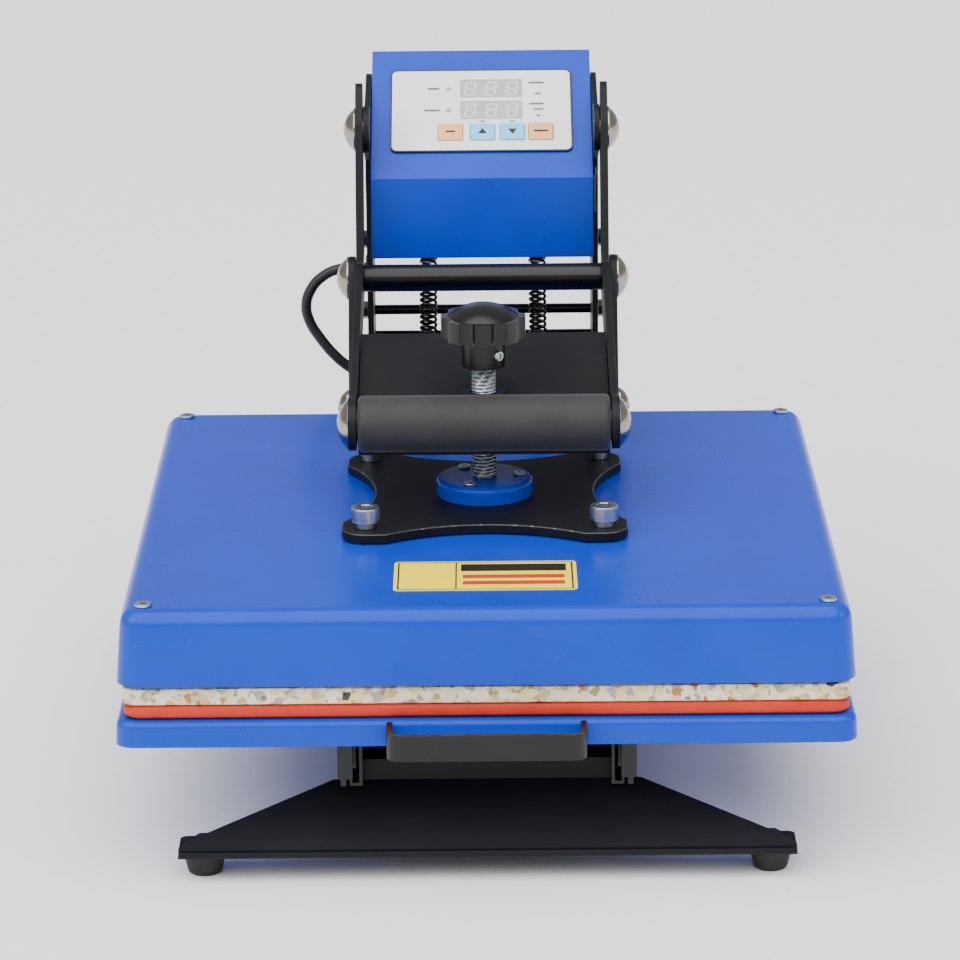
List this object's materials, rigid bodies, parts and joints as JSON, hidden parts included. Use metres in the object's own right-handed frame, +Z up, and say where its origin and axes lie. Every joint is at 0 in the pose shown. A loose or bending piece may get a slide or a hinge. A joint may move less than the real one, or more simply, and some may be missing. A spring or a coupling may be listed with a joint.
{
  "type": "heat press",
  "caption": "Clamshell flat heat press: square heated platen on a hinged yoke, toggle handle, pressure screw, slide-out padded lower tray and a sloped control box.",
  "frame": {"origin": "middle of the footprint on the plane that the rubber feet stand on", "axes": "+X to the operator's right, +Y from the operator towards the column, +Z up"},
  "size_m": [0.388, 0.488, 0.355],
  "materials": {
    "black_powder_coat": "satin",
    "blue_powder_coat": "gloss",
    "black_gloss_steel": "gloss",
    "black_slide_steel": "satin",
    "foot_rubber": "matte",
    "cable_rubber": "matte",
    "grip_foam": "matte",
    "zinc_steel": "satin",
    "ground_steel": "satin",
    "stainless_steel": "polished",
    "silver_film": "satin",
    "display_lens": "gloss",
    "board_laminate": "satin",
    "black_plastic": "satin",
    "knob_plastic": "gloss",
    "red_plastic": "gloss",
    "orange_key": "satin",
    "sky_key": "satin",
    "red_silicone": "satin",
    "rebond_foam": "matte",
    "cast_aluminium": "satin",
    "element_sheath": "satin",
    "mineral_wool": "matte",
    "bearing_brass": "satin",
    "yellow_film": "satin"
  },
  "bodies": {
    "base": {"base_beam": "black_powder_coat", "front_apron": "black_powder_coat", "rear_apron": "black_powder_coat", "feet": "foot_rubber", "foot_screws": "zinc_steel", "slide_rails": "black_slide_steel", "column_plate_left": "black_powder_coat", "column_plate_right": "black_powder_coat", "column_back_plate": "black_powder_coat", "cross_rods": "black_slide_steel", "hinge_shaft": "ground_steel", "hinge_bolts": "stainless_steel", "box_shell": "blue_powder_coat", "box_rear_cover": "blue_powder_coat", "panel_overlay": "silver_film", "display_windows": "display_lens", "circuit_board": "board_laminate", "switch_bezel": "black_plastic", "power_inlet": "black_plastic", "box_screws": "zinc_steel", "heater_cable": "cable_rubber", "cable_grommets": "foot_rubber", "lift_springs": "black_slide_steel"},
    "drawer": {"lower_tray": "blue_powder_coat", "drawer_brackets": "black_slide_steel", "slide_runners": "ground_steel", "silicone_mat": "red_silicone", "foam_pad": "rebond_foam", "pull_handle": "black_gloss_steel", "handle_screws": "zinc_steel"},
    "yoke": {"yoke_frame": "black_powder_coat", "pressure_nut": "ground_steel", "spring_rod": "ground_steel"},
    "platen": {"platen_cover": "blue_powder_coat", "heating_plate": "cast_aluminium", "heating_element": "element_sheath", "insulation": "mineral_wool", "standoffs": "ground_steel", "floating_bracket": "black_powder_coat", "bracket_bolts": "zinc_steel", "cover_screws": "stainless_steel", "pressure_disc": "blue_powder_coat", "disc_screws": "stainless_steel", "thrust_washer": "bearing_brass", "plain_label": "yellow_film"},
    "screw": {"pressure_screw": "zinc_steel", "pressure_knob": "knob_plastic"},
    "handle": {"arm_left": "black_powder_coat", "arm_right": "black_powder_coat", "grip_sleeve": "grip_foam", "grip_tube": "ground_steel", "knee_tube": "black_gloss_steel", "arm_bolts": "stainless_steel"},
    "links": {"knee_links": "black_powder_coat", "link_bolts": "stainless_steel"},
    "set_button": {"key_set": "orange_key"},
    "up_button": {"key_up": "sky_key"},
    "down_button": {"key_down": "sky_key"},
    "start_button": {"key_start": "orange_key"},
    "power_rocker": {"rocker_switch": "red_plastic"}
  },
  "joints": [
    {"name": "drawer_slide", "type": "slide", "parent": "base", "child": "drawer", "axis": [0, -1, 0], "range_m": [0, 0.22]},
    {"name": "yoke_hinge", "type": "hinge", "parent": "base", "child": "yoke", "pos_m": [0, 0.197, 0.175], "axis": [-1, 0, 0], "range_deg": [0, 20], "deforming": ["lift_springs"]},
    {"name": "handle_hinge", "type": "hinge", "parent": "base", "child": "handle", "pos_m": [0, 0.157, 0.3235], "axis": [-1, 0, 0], "range_deg": [0, 45.15]},
    {"name": "link_hinge", "type": "hinge", "parent": "handle", "child": "links", "pos_m": [0, 0.13, 0.24], "axis": [1, 0, 0], "range_deg": [0, 88.12]},
    {"name": "platen_height", "type": "slide", "parent": "yoke", "child": "platen", "axis": [0, 0, 1], "range_m": [0, 0.008]},
    {"name": "pressure_turn", "type": "hinge", "parent": "platen", "child": "screw", "pos_m": [0, -0.028, 0.25], "axis": [0, 0, 1], "range_deg": [0, 1440.01]},
    {"name": "set_press", "type": "slide", "parent": "base", "child": "set_button", "axis": [0, 0.5592, -0.829], "range_m": [0, 0.0006], "stiffness_N_per_m": 400, "springref_m": -0.0005},
    {"name": "up_press", "type": "slide", "parent": "base", "child": "up_button", "axis": [0, 0.5592, -0.829], "range_m": [0, 0.0006], "stiffness_N_per_m": 400, "springref_m": -0.0005},
    {"name": "down_press", "type": "slide", "parent": "base", "child": "down_button", "axis": [0, 0.5592, -0.829], "range_m": [0, 0.0006], "stiffness_N_per_m": 400, "springref_m": -0.0005},
    {"name": "start_press", "type": "slide", "parent": "base", "child": "start_button", "axis": [0, 0.5592, -0.829], "range_m": [0, 0.0006], "stiffness_N_per_m": 400, "springref_m": -0.0005},
    {"name": "power_tip", "type": "hinge", "parent": "base", "child": "power_rocker", "pos_m": [0.0637, 0.165, 0.285], "axis": [0, -1, 0], "range_deg": [0, 14]}
  ],
  "couplings": [
    {"joint": "handle_hinge", "follows": "yoke_hinge", "ratio": 2.2574},
    {"joint": "link_hinge", "follows": "yoke_hinge", "ratio": 4.4059},
    {"joint": "pressure_turn", "follows": "platen_height", "rad_per_m": 3141.6}
  ]
}
